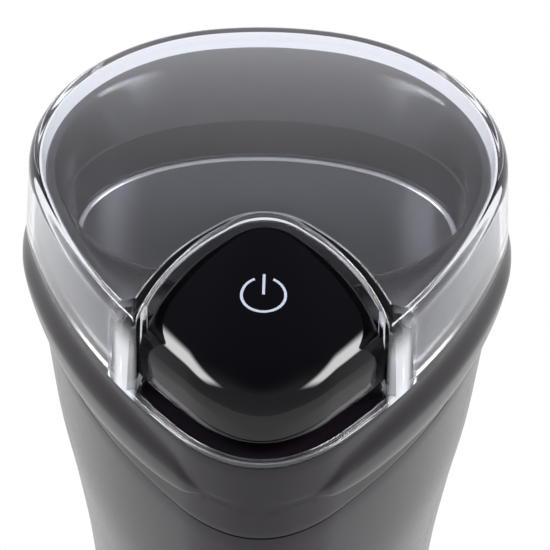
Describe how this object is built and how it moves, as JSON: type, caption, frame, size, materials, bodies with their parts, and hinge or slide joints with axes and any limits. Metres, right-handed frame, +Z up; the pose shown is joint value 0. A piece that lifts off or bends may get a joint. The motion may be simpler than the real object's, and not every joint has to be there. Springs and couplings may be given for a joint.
{
  "type": "electric spice grinder",
  "caption": "Upright egg-plan spice grinder with a clear domed lid, a glossy black one-touch button in its arched bay, a dark collar and body, and an oval steel bowl with a blade",
  "frame": {"origin": "on the resting surface, midway across the body and midway between the nose and the back of the plan outline", "axes": "+Z up, -Y towards the nose with the push button, +Y towards the back with the cord inlet, X across"},
  "size_m": [0.0956, 0.1122, 0.1823],
  "materials": {
    "clear_plastic": "clear moulded plastic, polished",
    "black_gloss": "deep black, mirror-smooth",
    "pale_print": "pale grey-blue inlay",
    "dark_plastic": "charcoal black, glossy",
    "body_plastic": "charcoal black, glossy",
    "steel": "drawn sheet steel, satin",
    "blade_steel": "ground blade steel",
    "zinc_steel": "bright zinc-plated steel",
    "spring_steel": "drawn spring wire",
    "rubber_black": "soft black rubber",
    "seal_grey": "grey silicone rubber",
    "core_iron": "laminated core sheet, dull",
    "copper": "enamelled copper",
    "bronze": "sintered bronze",
    "carbon": "pressed carbon",
    "insulator": "off-white moulded insulator",
    "inner_plastic": "black engineering plastic",
    "lead_red": "insulated lead"
  },
  "bodies": {
    "housing": {"top_collar": "dark_plastic", "front_shell": "body_plastic", "rear_shell": "body_plastic", "base_cover": "inner_plastic", "rubber_feet": "rubber_black", "base_screws": "zinc_steel", "cord_inlet": "rubber_black", "grinding_bowl": "steel", "bowl_gasket": "seal_grey", "bowl_clamp": "inner_plastic", "clamp_screws": "zinc_steel", "shaft_seal": "rubber_black", "stator_core": "core_iron", "field_coils": "copper", "lower_bracket": "inner_plastic", "upper_bracket": "inner_plastic", "lower_bearing": "bronze", "upper_bearing": "bronze", "stator_screws": "zinc_steel", "brush_holders": "bronze", "carbon_brushes": "carbon", "brush_springs": "spring_steel", "motor_plate": "inner_plastic", "motor_mounts": "rubber_black", "mount_screws": "zinc_steel", "switch_body": "inner_plastic", "switch_mount": "inner_plastic", "switch_screws": "zinc_steel", "terminal_block": "insulator", "thermal_cutout": "inner_plastic", "lead_wires": "lead_red", "button_spring": "spring_steel"},
    "lid": {"clear_lid": "clear_plastic"},
    "button": {"push_button": "black_gloss", "button_mark": "pale_print"},
    "plunger": {"switch_plunger": "insulator"},
    "rotor": {"motor_shaft": "zinc_steel", "armature_core": "core_iron", "armature_windings": "copper", "commutator": "copper", "cooling_fan": "inner_plastic", "blade_spacer": "zinc_steel", "blade": "blade_steel", "blade_cap": "zinc_steel"}
  },
  "joints": [
    {"name": "lid_lift", "type": "slide", "parent": "housing", "child": "lid", "axis": [0, 0, 1], "range_m": [0, 0.06]},
    {"name": "button_press", "type": "slide", "parent": "housing", "child": "button", "axis": [0, 0, -1], "range_m": [0, 0.003], "stiffness_N_per_m": 600, "springref_m": -0.004, "deforming": ["button_spring"]},
    {"name": "plunger_press", "type": "slide", "parent": "housing", "child": "plunger", "axis": [0, 0, -1], "range_m": [0, 0.003]},
    {"name": "drive_spin", "type": "hinge", "parent": "housing", "child": "rotor", "pos_m": [0, 0.01536, 0.1], "axis": [0, 0, 1], "continuous": true}
  ],
  "couplings": [
    {"joint": "plunger_press", "follows": "button_press", "ratio": 1}
  ]
}
